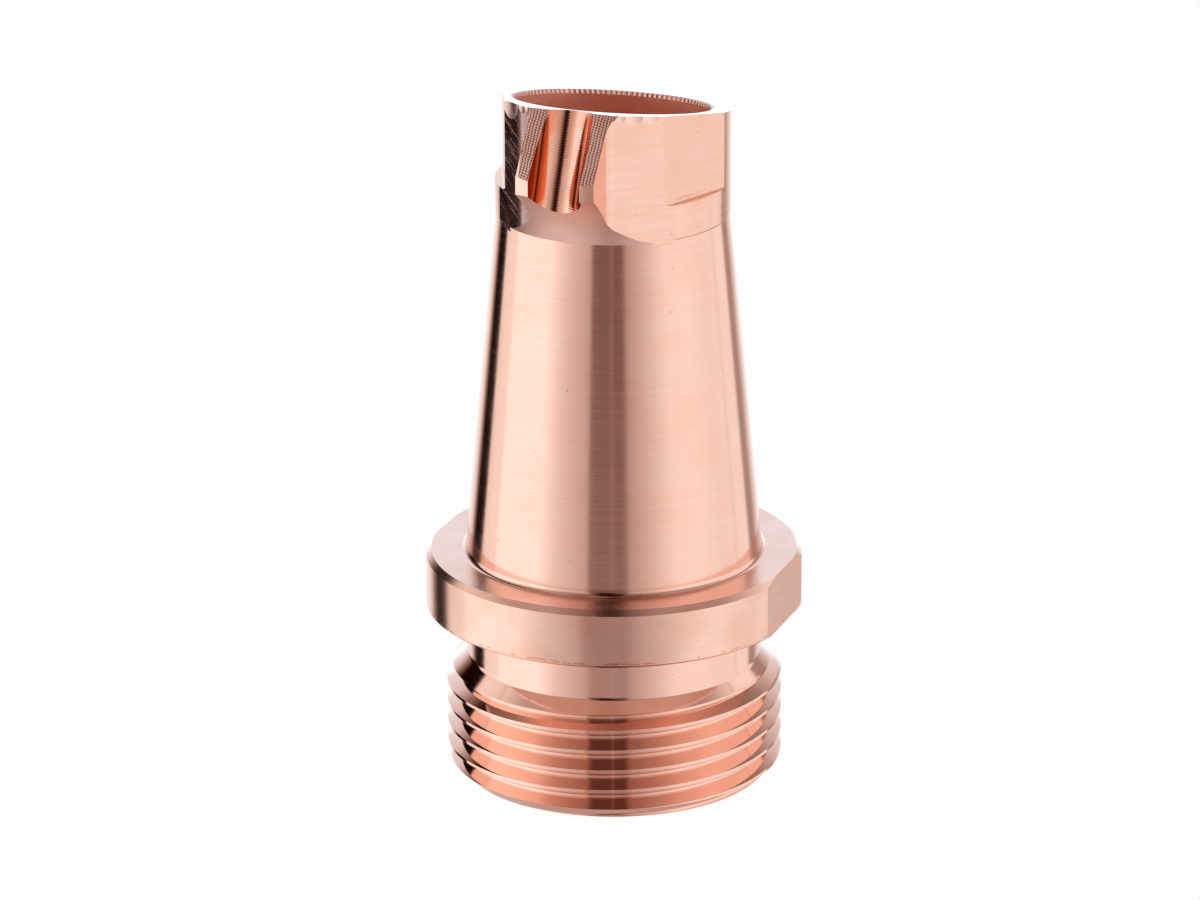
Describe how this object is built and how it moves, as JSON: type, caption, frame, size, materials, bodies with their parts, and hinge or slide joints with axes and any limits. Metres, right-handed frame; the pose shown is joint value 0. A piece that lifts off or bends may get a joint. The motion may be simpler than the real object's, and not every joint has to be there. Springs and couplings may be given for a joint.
{
  "type": "laser welding nozzle",
  "caption": "Tapered copper nozzle for laser welding, with a threaded end, a flange with spanner flats, a slanted rim and a nose that guides the filler wire",
  "frame": {"origin": "centre of the threaded end face, on the axis of the bore", "axes": "+Z runs along the bore from the threaded end to the tip, -Y points to the nose with the wire channel, X runs across the two spanner flats"},
  "size_m": [0.0172, 0.0178, 0.0339],
  "materials": {
    "copper": "polished bare copper"
  },
  "bodies": {
    "root": {"nozzle_body": "copper"}
  },
  "joints": []
}
